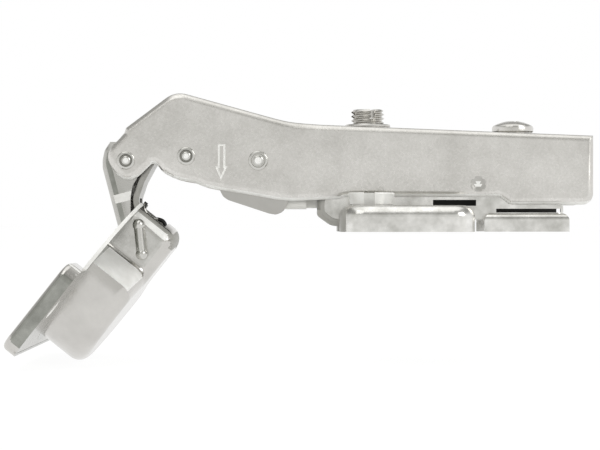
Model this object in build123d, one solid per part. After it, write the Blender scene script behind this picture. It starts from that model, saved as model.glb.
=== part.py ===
from build123d import *
import math
import os

# Frame: millimetres, +Z up, +X towards the rear end of the arm, Y across the arm.
# The origin is on the board, midway between the two screw holes of the plate.

# Mounting plate
plate_t = 1.2
plate_screw_half = 16.0
plate_screw_hole_r = 2.75
wing_x0 = -6.4
wing_x1 = 20.65
wing_reach = 9.0
wing_half = plate_screw_half + wing_reach
wing_h = 5.35
wing_edge_r = 2.4
wing_corner_r = 4.6
rail_front_top = 14.1
rail_gap = 0.3
rail_rear_x = 40.6
foot_x0 = 23.7
foot_x1 = 41.2
foot_half = 10.0
foot_h = 3.8

# Screw collars on the wings
collar_top_r = 4.8
collar_low_r = 4.35
collar_top_z = 8.0
collar_gap = 2.2

# Arm, and the free room at each side of the rail inside it
arm_t = 1.1
arm_half = 7.9
rail_side_gap = 0.3
rail_half = arm_half - arm_t - rail_side_gap
arm_bend_r = 1.5
arm_rear_x = 46.65
arm_rear_top = 20.04
arm_slope = 0.0401
arm_low = 7.15
arm_rear_low = 5.54
mark_depth = 0.25

# Screws
adjust_x = -0.2
adjust_r = 3.5
adjust_top = 25.8
adjust_shoulder = 14.4
adjust_neck_r = 2.0
adjust_foot_r = 3.2
bush_r = 4.8
bush_top = 22.66
bush_body_r = 4.3
lock_x = 30.55
lock_r = 2.5
lock_head_r = 4.38
lock_seat_gap = 0.02
lock_rim_h = 1.5
lock_dome_h = 1.0
lock_bottom = 13.0
depth_travel = 2.0
thread_fit = 0.05

# Pivots: front and rear pins of the arm, and the two legs of the cup's pin
front_pin_x = -50.79
front_pin_z = 14.82
rear_pin_x = -38.25
rear_pin_z = 15.73
pin_r = 1.5
pin_head_r = 1.9
pin_head_h = 0.45
pin_fit = 0.05
rivet_x = -23.26
rivet_z = 14.8
rivet_r = 1.2
rivet_head_r = 2.05

# Links, one inside the other and both between the arm's walls
link_side_gap = 0.35
outer_half = arm_half - arm_t - link_side_gap
outer_t = 1.1
inner_half = outer_half - outer_t - link_side_gap
inner_t = 1.2

# Cup: its own frame has the mouth centre as origin, u towards the arm, n out of the mouth
cup_angle = 51.6
cup_x = -58.11
cup_z = -8.13
cup_r = 17.5
cup_depth = 10.5
cup_t = 0.75
cup_foot_r = 3.0
cup_corner_r = 3.15
flange_r = 18.6
flange_t = 0.75
cup_link_gap = 0.5
pocket_half = outer_half + cup_link_gap + cup_t
pocket_start = 2.2
pocket_bend_r = 1.5
upper_leg_u = cup_r - 3.76
upper_leg_n = -1.97
lower_leg_u = cup_r - 8.1
lower_leg_n = -6.22
notch_n = -6.3
leg_r = 1.25
bridge_r = 1.05
ear_u0 = -21.2
ear_u1 = 0.4
ear_half = 29.0
ear_h = 3.2
ear_t = 0.8
ear_corner_r = 3.5
ear_edge_r = 1.1
ear_hole_u = -9.5
ear_hole_half = 22.5
ear_hole_r = 2.2

# Eyes, heel and slot of the links
outer_bend_r = 0.9
inner_eye_r = 2.4
rear_eye_r = 2.7
heel_reach = 4.0
heel_half = 2.0
slot_reach = 2.9
slot_r = 2.05
slot_ease = 1.0
slot_turn = 43.2

# Closing spring
spring_wire_r = 0.42
spring_coil_r = 1.95
spring_half = 2.3

# Damper
damper_x0 = -29.6
damper_x1 = -13.2
damper_low = 4.75
damper_top = 16.2
damper_z = 12.0
damper_rod_r = 1.2
damper_rod_tip = -37.0
damper_travel = 3.0
damper_rod_fit = 0.05
damper_rod_in = -27.4
bracket_t = 0.8
bracket_top = 17.6
damper_fit = 0.02


def corner(before, at, after, radius):
    """Edges rounding one corner: start of the arc, its middle and its end."""
    ax, az = before[0] - at[0], before[1] - at[1]
    bx, bz = after[0] - at[0], after[1] - at[1]
    la = math.hypot(ax, az)
    lb = math.hypot(bx, bz)
    ax, az, bx, bz = ax / la, az / la, bx / lb, bz / lb
    half = math.acos(max(-1.0, min(1.0, ax * bx + az * bz))) / 2
    if half > math.radians(88.5) or radius <= 0:
        return None
    reach = min(radius / math.tan(half), 0.48 * la, 0.48 * lb)
    r = reach * math.tan(half)
    mx, mz = ax + bx, az + bz
    lm = math.hypot(mx, mz)
    inner = r / math.sin(half) - r
    start = (at[0] + ax * reach, at[1] + az * reach)
    middle = (at[0] + mx / lm * inner, at[1] + mz / lm * inner)
    end = (at[0] + bx * reach, at[1] + bz * reach)
    return start, middle, end


def side_face(points, y):
    """Face in the plane Y = y from (x, z) or (x, z, corner radius) points."""
    n = len(points)
    spans = []
    for i in range(n):
        p = points[i]
        r = p[2] if len(p) > 2 else 0.0
        arc = corner(points[i - 1], p, points[(i + 1) % n], r)
        spans.append(arc if arc else (p[:2], None, p[:2]))
    edges = []
    for i in range(n):
        start, middle, end = spans[i]
        if middle:
            bow = [(p[0], y, p[1]) for p in (start, middle, end)]
            edges.append(ThreePointArc(*bow))
        follow = spans[(i + 1) % n][0]
        if math.hypot(follow[0] - end[0], follow[1] - end[1]) > 1e-4:
            edges.append(Line((end[0], y, end[1]), (follow[0], y, follow[1])))
    return Face(Wire([e.edge() for e in edges]))


def side_block(points, y0, y1):
    """Solid between y0 and y1 with the given side outline."""
    return extrude(side_face(points, y0), amount=y1 - y0, dir=(0, 1, 0))


def plan_block(points, z0, z1):
    """Solid between z0 and z1 with the given plan outline of (x, y[, radius]) points."""
    n = len(points)
    spans = []
    for i in range(n):
        p = points[i]
        r = p[2] if len(p) > 2 else 0.0
        arc = corner(points[i - 1], p, points[(i + 1) % n], r)
        spans.append(arc if arc else (p[:2], None, p[:2]))
    edges = []
    for i in range(n):
        start, middle, end = spans[i]
        if middle:
            edges.append(ThreePointArc((*start, z0), (*middle, z0), (*end, z0)))
        follow = spans[(i + 1) % n][0]
        if math.hypot(follow[0] - end[0], follow[1] - end[1]) > 1e-4:
            edges.append(Line((*end, z0), (*follow, z0)))
    return extrude(Face(Wire([e.edge() for e in edges])), amount=z1 - z0, dir=(0, 0, 1))


def parallel(points, offset):
    """Line beside the given one, to its left for a positive offset."""
    result = []
    last = len(points) - 1
    for i, p in enumerate(points):
        a = points[max(i - 1, 0)]
        b = points[i]
        c = points[min(i + 1, last)]
        d1 = (b[0] - a[0], b[1] - a[1]) if i > 0 else (c[0] - b[0], c[1] - b[1])
        d2 = (c[0] - b[0], c[1] - b[1]) if i < last else d1
        l1 = math.hypot(*d1)
        l2 = math.hypot(*d2)
        n1 = (-d1[1] / l1, d1[0] / l1)
        n2 = (-d2[1] / l2, d2[0] / l2)
        scale = 1 + n1[0] * n2[0] + n1[1] * n2[1]
        result.append((p[0] + offset * (n1[0] + n2[0]) / scale, p[1] + offset * (n1[1] + n2[1]) / scale))
    return result


def distance_to(points, x, z):
    """Smallest distance from (x, z) to the line through the given points."""
    near = []
    for a, b in zip(points, points[1:]):
        dx, dz = b[0] - a[0], b[1] - a[1]
        along = ((x - a[0]) * dx + (z - a[1]) * dz) / (dx * dx + dz * dz)
        along = max(0.0, min(1.0, along))
        near.append(math.hypot(x - a[0] - along * dx, z - a[1] - along * dz))
    return min(near)


def strip(points, thickness, radius):
    """Outline of a bent sheet seen from the side, along its middle line."""
    left = parallel(points, thickness / 2)
    right = parallel(points, -thickness / 2)
    bends = [(x, z, radius) for x, z in left] + [(x, z, radius) for x, z in reversed(right)]
    for i in (0, len(left) - 1, len(left), len(bends) - 1):
        bends[i] = bends[i][:2]
    return bends


def rod_y(x, z, radius, y0, y1):
    """Round bar across the arm."""
    return Solid.make_cylinder(radius, y1 - y0, Plane(origin=(x, y0, z), x_dir=(1, 0, 0), z_dir=(0, 1, 0)))


def rod_z(x, y, radius, z0, z1):
    """Upright round bar."""
    return Pos(x, y, z0) * Solid.make_cylinder(radius, z1 - z0)


def rod_x(y, z, radius, x0, x1):
    """Round bar along the arm."""
    return Solid.make_cylinder(radius, x1 - x0, Plane(origin=(x0, y, z), x_dir=(0, 1, 0), z_dir=(1, 0, 0)))


def block(x0, x1, y0, y1, z0, z1):
    """Plain box between the given limits."""
    return Pos((x0 + x1) / 2, (y0 + y1) / 2, (z0 + z1) / 2) * Box(x1 - x0, y1 - y0, z1 - z0)


def arm_top(x):
    """Height of the arm's top face over its straight rear part."""
    return arm_rear_top + arm_slope * (arm_rear_x - x)


def cup_place(shape):
    """Move a shape from the cup's own frame to the hinge, opened as shown."""
    return Pos(cup_x, 0, cup_z) * Rot(0, -cup_angle, 0) * shape


def cup_point(u, n):
    """Side view position of a point of the cup."""
    c = math.cos(math.radians(cup_angle))
    s = math.sin(math.radians(cup_angle))
    return cup_x + u * c - n * s, cup_z + u * s + n * c


def arm_back():
    """Outer line of the arm's web, from the rear end to the lip at the front."""
    return [
        (arm_rear_x, arm_rear_top),
        (-10.4, arm_top(-10.4)),
        (-17.0, arm_top(-10.4) + 0.5),
        (-40.6, 29.35),
        (-50.9, 21.65),
    ]


def make_arm():
    """The bent arm: a folded channel with a drooping front, slots and pressed marks."""
    back = arm_back()
    front = [(-0.41, 5.78, 0.6), (-2.13, 3.96, 3), (-3.42, 2.63, 3), (-4.12, 0.87, 3), (-3.47, -1.0, 3),
             (-1.9, -3.08, 3), (-0.42, -4.08, 2), (1.0, -4.1, 2), (2.65, -3.36, 3), (4.31, -1.76, 3)]
    lobe = [(front_pin_x + x, front_pin_z + z, r) for x, z, r in front]
    lobe += [
        (-45.2, 14.3, 0.9), (-44.2, 13.62, 1.5), (-43.16, 12.29, 3), (-40.88, 11.05, 4), (-38.6, 10.5, 5),
        (-36.94, 10.25, 3), (-34.46, 9.27, 5), (-31.35, 8.64, 9), (-24.92, 7.61, 20), (-19.33, 6.57, 9),
        (-16.43, 6.36, 9), (-6.4, 6.7, 3), (-5.03, arm_low, 2),
        (27.1, arm_low, 1.5), (29.27, arm_rear_low, 1.5), (arm_rear_x, arm_rear_low, 2.4),
    ]
    outline = [back[0], (*back[1], 30), (*back[2], 30), (*back[3], 5.0), (*back[4], 0.5)] + lobe
    body = side_block(outline, -arm_half, arm_half)
    ridge = [e for e in body.edges() if abs(abs(e.center().Y) - arm_half) < 0.01]
    ridge = [e for e in ridge if e.center().Z > 21.05 and e.length > 0.2]
    body = fillet(ridge, arm_bend_r)
    inner = parallel(back, arm_t)
    inner[0] = (arm_rear_x + 5, inner[0][1])
    last = inner[-1]
    hollow = [inner[0], (*inner[1], 30), (*inner[2], 30), (*inner[3], 3.9), last]
    hollow += [(last[0] - 0.8, last[1] - 0.9), (-60, last[1] - 0.9), (-60, -5), (arm_rear_x + 5, -5)]
    inside = side_block(hollow, -arm_half + arm_t, arm_half - arm_t)
    body = body - inside
    bores = [(front_pin_x, front_pin_z, pin_r), (rear_pin_x, rear_pin_z, pin_r), (rivet_x, rivet_z, rivet_r)]
    for x, z, r in bores:
        body = body - rod_y(x, z, r, -arm_half - 1, arm_half + 1)
    body = body - rod_z(adjust_x, 0, bush_body_r, 15, 30)
    slot_x = lock_x - depth_travel - 0.3
    slot_half = lock_r + 0.3
    body = body - rod_z(slot_x, 0, slot_half, 15, 30)
    body = body - block(slot_x, arm_rear_x + 2, -slot_half, slot_half, 15, 30)
    for side in (-1, 1):
        body = body - Pos(22.54, side * (arm_half + 3.9), 9.89) * Sphere(4.25)
    arrow = [(-31.6, 18.2), (-30.1, 18.2), (-30.1, 13.6), (-29.7, 13.6), (-31.0, 10.7)]
    arrow += [(-32.1, 13.6), (-31.6, 13.6)]
    heart = [(-31.25, 17.85), (-30.45, 17.85), (-30.45, 13.25), (-30.25, 13.25), (-30.98, 11.6)]
    heart += [(-31.6, 13.25), (-31.25, 13.25)]
    mark = side_block(arrow, -arm_half - 1, -arm_half + mark_depth)
    mark = mark - side_block(heart, -arm_half - 2, -arm_half + 2)
    return body - mark


def make_pin(x, z, radius, head_r):
    """Riveted pin through both walls of the arm, with a ringed head each side."""
    pin = rod_y(x, z, radius, -arm_half, arm_half)
    for side in (-1, 1):
        y0 = side * arm_half
        y1 = side * (arm_half + pin_head_h)
        head = rod_y(x, z, head_r, min(y0, y1), max(y0, y1))
        rim = [e for e in head.edges() if abs(e.center().Y - y1) < 0.01 and e.geom_type == GeomType.CIRCLE]
        head = fillet(rim, pin_head_h * 0.7)
        groove = rod_y(x, z, head_r * 0.62, min(y1, y1 - side * 0.15), max(y1, y1 - side * 0.15))
        groove = groove - rod_y(x, z, head_r * 0.48, -2 * arm_half, 2 * arm_half)
        pin = pin + (head - groove)
    return pin


def rail_top():
    """Outer line of the rail's top, from the rear to the front."""
    drop = arm_t + rail_gap
    return [
        (rail_rear_x, arm_top(rail_rear_x) - drop),
        (18.5, arm_top(18.5) - drop),
        (12.0, rail_front_top),
        (-8.9, rail_front_top),
    ]


def make_plate():
    """Mounting plate: raised rail for the arm, two wings, a nose and a rear foot, pressed in one."""
    top = rail_top()
    outline = [(*top[0], 1.5), (*top[1], 2), (*top[2], 2), (*top[3], 1.0)]
    outline += [(-10.92, 6.2, 1.5), (-10.95, 3.4, 3.4), (-7.9, 1.15, 4.0), (wing_x0 + plate_t, 1.15)]
    outline += [(wing_x0 + plate_t, wing_h - plate_t), (wing_x1, wing_h - plate_t), (wing_x1, foot_h - plate_t)]
    outline += [(rail_rear_x, foot_h - plate_t)]
    rail = side_block(outline, -rail_half, rail_half)
    ridge = [e for e in rail.edges() if abs(abs(e.center().Y) - rail_half) < 0.01]
    ridge = [e for e in ridge if e.center().Z > rail_front_top - 0.05 and e.length > 0.2]
    rail = fillet(ridge, 1.5)
    inner = parallel(top, plate_t)
    hollow = [(60, inner[0][1]), (*inner[1], 1), (*inner[2], 3), (-20, inner[2][1]), (-20, -5), (60, -5)]
    rail = rail - side_block(hollow, -rail_half + plate_t, rail_half - plate_t)
    nose = [(-10.92, 4.6), (-10.95, 3.4, 3.4), (-7.9, 1.15, 4.0), (wing_x0 + plate_t, 1.15)]
    nose += [(wing_x0 + plate_t, 1.95), (-7.9, 1.95, 3.2), (-10.1, 3.6, 2.6), (-10.1, 4.6)]
    rail = rail + side_block(nose, -rail_half + 0.2, rail_half - 0.2)
    rail = rail - block(26.4, rail_rear_x - 0.7, -rail_half - 2, -rail_half + 2, 4.0, 4.8)
    rail = rail - block(13.2, 22.2, -rail_half - 2, -rail_half + 2, wing_h + 0.05, wing_h + 1.3)
    slot_x = adjust_x + depth_travel + 0.4
    slot_half = adjust_neck_r + 0.25
    rail = rail - rod_z(slot_x, 0, slot_half, rail_front_top - 3, rail_front_top + 3)
    rail = rail - block(-15, slot_x, -slot_half, slot_half, rail_front_top - 3, rail_front_top + 3)
    boss_top = arm_top(lock_x) - arm_t - rail_gap - plate_t + 0.2
    rail = rail + rod_z(lock_x, 0, lock_r + 1.6, boss_top - 3.2, boss_top)
    rail = rail - rod_z(lock_x, 0, lock_r + thread_fit, 5, 25)
    plate = rail
    for side in (-1, 1):
        y_in = side * (rail_half - 0.6)
        y_out = side * wing_half
        y0, y1 = min(y_in, y_out), max(y_in, y_out)
        wing = block(wing_x0, wing_x1, y0, y1, 0, wing_h)
        posts = [e for e in wing.edges().filter_by(Axis.Z) if abs(e.center().Y - y_out) < 0.01]
        wing = fillet(posts, wing_corner_r)
        brim = [e for e in wing.edges() if abs(e.center().Z - wing_h) < 0.01]
        brim = [e for e in brim if abs(e.center().Y - y_in) > 0.01]
        wing = fillet(brim, wing_edge_r)
        x0 = wing_x0 + plate_t
        x1 = wing_x1 - plate_t
        v0 = min(side * (rail_half - 3), side * (wing_half - plate_t))
        v1 = max(side * (rail_half - 3), side * (wing_half - plate_t))
        under = block(x0, x1, v0, v1, -1, wing_h - plate_t)
        under = fillet(under.edges().filter_by(Axis.Z), wing_corner_r - plate_t)
        wing = wing - under
        wing = wing + rod_z(0, side * plate_screw_half, plate_screw_hole_r + plate_t, 0, wing_h - plate_t / 2)
        wing = wing - rod_z(0, side * plate_screw_half, plate_screw_hole_r, -1, 10)
        plate = plate + wing
        y_in = side * (rail_half - 0.6)
        y_out = side * foot_half
        foot = block(foot_x0, foot_x1, min(y_in, y_out), max(y_in, y_out), 0, foot_h)
        crest = [e for e in foot.edges() if abs(e.center().Z - foot_h) < 0.01]
        crest = [e for e in crest if abs(e.center().Y - y_in) > 0.01]
        foot = fillet(crest, 1.4)
        v0 = min(side * (rail_half - 3), side * (foot_half - plate_t))
        v1 = max(side * (rail_half - 3), side * (foot_half - plate_t))
        foot = foot - block(foot_x0 - 1, foot_x1 - plate_t, v0, v1, -1, foot_h - plate_t)
        plate = plate + foot
    reach = rail_half - plate_t
    return plate - block(wing_x0 - 2, rail_rear_x + 9, -reach, reach, -2, foot_h - plate_t)


def make_collar(side):
    """Split collar round one screw hole of the plate, its gap towards the wing's end."""
    y = side * plate_screw_half
    height = collar_top_z - wing_h - 0.25
    ring = Pos(0, y, wing_h + 0.25 + height / 2) * Cone(collar_low_r, collar_top_r, height)
    ring = ring + rod_z(0, y, collar_low_r - 0.4, wing_h, wing_h + 0.3)
    top = [e for e in ring.edges() if abs(e.center().Z - collar_top_z) < 0.01]
    ring = fillet(top, 0.3)
    ring = ring - rod_z(0, y, plate_screw_hole_r + 0.2, 0, 20)
    y0 = min(y, y + side * 8)
    y1 = max(y, y + side * 8)
    return ring - block(-0.6 - collar_gap / 2, -0.6 + collar_gap / 2, y0, y1, 0, 20)


def make_bush():
    """Threaded bush riveted into the arm for the adjusting screw."""
    low = arm_top(adjust_x) - arm_t - 0.5
    bush = rod_z(adjust_x, 0, bush_body_r, low, bush_top - 0.2)
    collar = rod_z(adjust_x, 0, bush_r, arm_top(adjust_x - bush_r) + 0.01, bush_top)
    collar = fillet(collar.edges().sort_by(Axis.Z)[-1], 0.2)
    bush = bush + collar
    return bush - rod_z(adjust_x, 0, adjust_r + thread_fit, 0, 2 * bush_top)


def make_adjusting_screw():
    """Adjusting screw: slotted stub, threaded body, thin neck and a foot under the rail."""
    sheet_low = rail_front_top - plate_t
    screw = rod_z(adjust_x, 0, adjust_r, adjust_shoulder, adjust_top)
    screw = chamfer(screw.edges().filter_by(GeomType.CIRCLE), 0.4)
    screw = screw + rod_z(adjust_x, 0, adjust_neck_r, sheet_low - 0.5, adjust_shoulder + 0.1)
    foot = rod_z(adjust_x, 0, adjust_foot_r, sheet_low - 1.7, sheet_low - 0.3)
    foot = chamfer(foot.edges().filter_by(GeomType.CIRCLE), 0.25)
    screw = screw + foot
    for turn in (0, 90):
        notch = Rot(0, 0, turn + 16) * Box(2 * adjust_r + 2, 1.0, 3.6)
        screw = screw - Pos(adjust_x, 0, adjust_top) * notch
    return screw


def make_locking_screw():
    """Pan-head locking screw through the arm's open slot into the rail."""
    low = arm_top(lock_x - lock_head_r - depth_travel) + lock_seat_gap
    head = rod_z(lock_x, 0, lock_head_r, low, low + lock_rim_h)
    rim = head.edges().sort_by(Axis.Z)
    head = fillet(rim[-1], 0.5)
    span = lock_head_r - 0.3
    ball = (span * span + lock_dome_h * lock_dome_h) / (2 * lock_dome_h)
    top = low + lock_rim_h + lock_dome_h
    dome = Pos(lock_x, 0, top - ball) * Sphere(ball)
    dome = dome & rod_z(lock_x, 0, span, low + lock_rim_h - 0.4, top + 1)
    screw = head + dome + rod_z(lock_x, 0, lock_r, lock_bottom, low + 0.2)
    for turn in (0, 90):
        cross = Rot(0, 0, turn + 20) * Box(4.6, 0.9, 2.4)
        screw = screw - Pos(lock_x, 0, top) * cross
    return screw


def make_cup_pin():
    """U-shaped pin: two legs across the cup and the bridge that joins them in the near pocket."""
    ux, uz = cup_point(upper_leg_u, upper_leg_n)
    lx, lz = cup_point(lower_leg_u, lower_leg_n)
    near = -(pocket_half + leg_r + 0.05)
    far = pocket_half + 0.35
    pin = rod_y(ux, uz, leg_r, near, far) + rod_y(lx, lz, leg_r, near, far)
    pin = pin + Pos(ux, near, uz) * Sphere(leg_r) + Pos(lx, near, lz) * Sphere(leg_r)
    dx, dz = ux - lx, uz - lz
    span = math.hypot(dx, dz)
    lie = Plane(origin=(lx, near, lz), x_dir=(0, 1, 0), z_dir=(dx / span, 0, dz / span))
    return pin + Solid.make_cylinder(bridge_r, span, lie)


def cup_form(wall, reach):
    """Solid drum of the cup, pressed in at both sides beside the links."""
    depth = cup_depth - wall
    drum = Pos(0, 0, -depth) * Solid.make_cylinder(cup_r - wall, depth + reach)
    half = pocket_half - wall
    ramp = 0.4175
    shift = wall * math.hypot(1, ramp)
    for side in (-1, 1):
        out = cup_r + 0.5
        start = pocket_start - shift
        edge = [(start, out), (start + ramp * (out - half), half, pocket_bend_r - wall)]
        edge += [(2 * out, half), (2 * out, out)]
        edge = [(p[0], side * p[1], *p[2:]) for p in edge]
        drum = drum - plan_block(edge, -cup_depth - 2, reach + 1 if reach else -0.001)
    rise = [e for e in drum.edges().filter_by(Axis.Z) if e.center().X > cup_r * 0.6 and e.length > depth / 2]
    drum = fillet(rise, cup_corner_r - wall)
    foot = [e for e in drum.edges() if abs(e.center().Z + depth) < 0.01]
    return fillet(foot, cup_foot_r - wall)


def make_cup():
    """Pressed cup with its flange, pockets, notch for the links and the raised tray with its two ears."""
    flange = Solid.make_cylinder(flange_r, flange_t) & block(-30, cup_r, -30, 30, -1, 2)
    tray = block(ear_u0, ear_u1, -ear_half, ear_half, 0, ear_h)
    tray = fillet(tray.edges().filter_by(Axis.Z), ear_corner_r)
    tray = fillet([e for e in tray.edges() if abs(e.center().Z - ear_h) < 0.01], ear_edge_r)
    tray = tray - Pos(0, 0, -1) * Solid.make_cylinder(flange_r - 0.4, 10)
    reach = ear_half - ear_t
    under = block(ear_u0 + ear_t, ear_u1 - ear_t, -reach, reach, -1, ear_h - ear_t)
    under = fillet(under.edges().filter_by(Axis.Z), ear_corner_r - ear_t)
    under = under - Pos(0, 0, -2) * Solid.make_cylinder(flange_r + ear_t - 0.4, 10)
    tray = tray - under
    for side in (-1, 1):
        tray = tray - rod_z(ear_hole_u, side * ear_hole_half, ear_hole_r, -1, 6)
    shell = cup_form(0.0, 0.0) + flange + tray
    shell = shell - cup_form(cup_t, 3.0)
    notch_half = inner_half + 0.4
    shell = shell - block(11.0, 22.0, -notch_half, notch_half, notch_n, 3.0)
    for u, n in ((upper_leg_u, upper_leg_n), (lower_leg_u, lower_leg_n)):
        shell = shell - rod_y(u, n, leg_r, -pocket_half - 1, pocket_half + 1)
    return cup_place(shell)


def make_outer_link():
    """Outer link: channel with its web in front of the arm, slotted for the front pin."""
    lx, lz = cup_point(lower_leg_u, lower_leg_n)
    fx, fz = front_pin_x, front_pin_z
    web = [(fx - 3.51, fz + 3.93), (fx - 4.66, fz + 2.18), (fx - 5.06, fz + 0.18), (fx - 5.06, fz - 1.52)]
    web += [(lx - 5.59, lz + 7.03), (lx - 5.0, lz + 4.93), (lx - 3.9, lz + 2.63)]
    wall = [(*web[0], 0.3)] + [(x, z, 3) for x, z in web[1:]]
    wall += [
        (lx - 2.6, lz - 0.4, 2.5), (lx - 1.7, lz - 2.3, 2.2), (lx + 1.7, lz - 2.3, 2.2),
        (lx + 2.7, lz + 1.2, 2.4), (lx + 0.4, lz + 3.1, 2.0), (lx - 2.55, lz + 6.23, 2.5),
        (fx + 0.84, fz - 7.6, 4), (fx + 1.26, fz - 5.19, 3), (fx + 2.3, fz - 3.44, 3),
    ]
    crown = [(3.6, 0.0, 2), (4.9, 2.8, 1.5), (4.5, 4.4, 1.0), (2.6, 4.5, 1.5), (1.16, 4.35, 2)]
    crown += [(-0.37, 4.18, 3), (-1.8, 3.9, 2)]
    wall += [(fx + x, fz + z, r) for x, z, r in crown]
    walls = side_block(wall, -outer_half, outer_half)
    back = web + [(lx - 2.6, lz - 0.4)]
    slab = side_block(strip(parallel(back, outer_t), 2 * outer_t, 3), -outer_half, outer_half)
    bend = [e for e in slab.edges() if abs(abs(e.center().Y) - outer_half) < 0.01]
    bend = [e for e in bend if distance_to(back, e.center().X, e.center().Z) < 0.4]
    link = (walls & fillet(bend, outer_bend_r)) + (walls - slab)
    inner = parallel(web, outer_t)
    tail = inner[-1]
    hollow = [(fx + 0.8, fz + 15), (inner[0][0] + 0.9, fz + 15), (inner[0][0] + 0.9, inner[0][1] + 0.4)]
    hollow += [inner[0]] + [(x, z, 2) for x, z in inner[1:-1]] + [tail, (tail[0] - 0.9, tail[1] - 0.6)]
    hollow += [(tail[0] - 3.5, tail[1] - 1.0), (tail[0] - 3.5, lz - 25)]
    hollow += [(fx + 20, lz - 25), (fx + 20, fz + 15)]
    link = link - side_block(hollow, -outer_half + outer_t, outer_half - outer_t)
    link = link - rod_y(lx, lz, leg_r + pin_fit, -20, 20)
    link = link - rod_y(front_pin_x, front_pin_z, pin_r + pin_fit, -20, 20)
    turn = math.radians(slot_turn)
    dx, dz = math.cos(turn), math.sin(turn)
    ends = [(0.0, pin_r + pin_fit), (slot_ease, slot_r), (slot_reach, slot_r)]
    upper = [(front_pin_x + a * dx - r * dz, front_pin_z + a * dz + r * dx) for a, r in ends]
    lower = [(front_pin_x + a * dx + r * dz, front_pin_z + a * dz - r * dx) for a, r in ends]
    link = link - side_block(upper + lower[::-1], -20, 20)
    return link - rod_y(front_pin_x + slot_reach * dx, front_pin_z + slot_reach * dz, slot_r, -20, 20)


def make_inner_link():
    """Inner link: a bent sheet with a rolled eye at the rear pin and two eyes on the cup's pin."""
    ux, uz = cup_point(upper_leg_u, upper_leg_n)
    line = [
        (rear_pin_x - 0.6, rear_pin_z + 2.0), (rear_pin_x - 5.0, rear_pin_z + 0.9),
        (rear_pin_x - 7.4, rear_pin_z - 1.31), (rear_pin_x - 9.53, rear_pin_z - 5.21),
        (ux - 0.95, uz + 5.51), (ux - 0.76, uz + 3.94), (ux + 0.5, uz + 2.2), (ux + 1.3, uz + 0.6),
    ]
    link = side_block(strip(line, inner_t, 3), -inner_half, inner_half)
    link = link + rod_y(rear_pin_x, rear_pin_z, rear_eye_r, -inner_half, inner_half)
    link = link + rod_y(ux, uz, inner_eye_r, -inner_half, inner_half)
    heel = [(rear_pin_x - 1.6, rear_pin_z), (rear_pin_x - 0.9, rear_pin_z - heel_reach, 0.6),
            (rear_pin_x + 0.9, rear_pin_z - heel_reach, 0.6), (rear_pin_x + 1.6, rear_pin_z)]
    link = link + side_block(heel, -heel_half, heel_half)
    link = link - rod_y(rear_pin_x, rear_pin_z, pin_r + pin_fit, -20, 20)
    link = link - rod_y(ux, uz, leg_r + pin_fit, -20, 20)
    window = [(ux - 6, uz - 6), (ux + 6, uz - 6), (ux + 6, uz + 5.6), (ux - 6, uz + 5.6)]
    return link - side_block(window, -spring_half - 0.4, spring_half + 0.4)


def make_spring():
    """Closing spring: a coil on the cup's upper pin leg, one end in the notch, one hooked outside."""
    u, n, r = upper_leg_u, upper_leg_n, spring_coil_r
    y = spring_half - spring_wire_r
    steps = 12
    turns = 3.75
    last = int(steps * turns)
    low = [(u + 1.2, y, n - 4.5), (u + 2.6, y, n - 4.1), (u + 3.25, y, n - 2.9), (u + 2.7, y, n - 1.4)]
    coil = []
    for i in range(last + 1):
        a = 2 * math.pi * i / steps
        coil.append((u + r * math.cos(a), y - 2 * y * i / last, n + r * math.sin(a)))
    high = [(u + 1.75, -y, n - 1.5), (u + 2.35, -y, n - 0.3), (u + 2.75, -y, n + 1.2)]
    high.append((u + 4.4, -y, n + 2.1))
    path = Spline(*(low + coil + high))
    start = Plane(origin=path @ 0, z_dir=path % 0)
    return cup_place(sweep(start * Circle(spring_wire_r), path=path))


def make_bracket():
    """Bracket inside the arm that carries the damper, its cheeks showing below the arm."""
    outer = arm_half - arm_t - 0.05
    edge = [(-7.94, -6.34, 0.6), (-7.32, -7.5, 1), (-6.28, -8.21, 1), (2.04, -10.95, 3), (3.5, -11.2, 1.5),
            (4.76, -10.7, 1.5), (5.79, -9.67, 1), (6.2, -8.8, 1), (6.26, -2.3, 2)]
    cheek = [(rivet_x + x, rivet_z + z, r) for x, z, r in edge]
    cheek += [(rivet_x + 3.66, bracket_top, 1.5), (rivet_x - 3.34, bracket_top, 1.5)]
    cheek += [(rivet_x - 7.74, rivet_z - 2.3, 2)]
    bracket = side_block(cheek, -outer, outer)
    keep = block(2 * rivet_x, 0, -outer + bracket_t, outer - bracket_t, -5, bracket_top - bracket_t)
    bracket = bracket - keep
    return bracket - rod_y(rivet_x, rivet_z, rivet_r, -20, 20)


def make_damper_body():
    """Damper housing, held between the cheeks of the bracket."""
    half = arm_half - arm_t - 0.05 - bracket_t - damper_fit
    side = [(damper_x0, damper_top), (damper_x0, damper_low + 2.9, 1.0), (damper_x0 + 7.6, damper_low, 3.0),
            (damper_x1, damper_low), (damper_x1, damper_top)]
    body = side_block(side, -half, half)
    body = fillet(body.edges().filter_by(Axis.X), 1.2)
    tail = block(damper_x1 - 1, damper_x1 + 2.3, -4.7, 4.7, damper_low + 0.25, 7.2)
    body = body + tail
    body = body - rod_y(rivet_x, rivet_z, rivet_r, -20, 20)
    bore_end = damper_rod_in + damper_travel + 0.4
    return body - rod_x(0, damper_z, damper_rod_r + damper_rod_fit, damper_x0 - 1, bore_end)


def make_gland():
    """Ring that closes the damper's rod end."""
    ring = rod_x(0, damper_z, 2.7, damper_x0 - 0.9, damper_x0)
    return ring - rod_x(0, damper_z, damper_rod_r + damper_rod_fit, damper_x0 - 2, damper_x0 + 1)


def make_rod():
    """Damper rod with its rounded tip towards the inner link."""
    rod = rod_x(0, damper_z, damper_rod_r, damper_rod_tip + 0.8, damper_rod_in)
    tip = Pos(damper_rod_tip + damper_rod_r + 0.4, 0, damper_z) * Sphere(damper_rod_r + 0.4)
    return rod + tip


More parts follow.
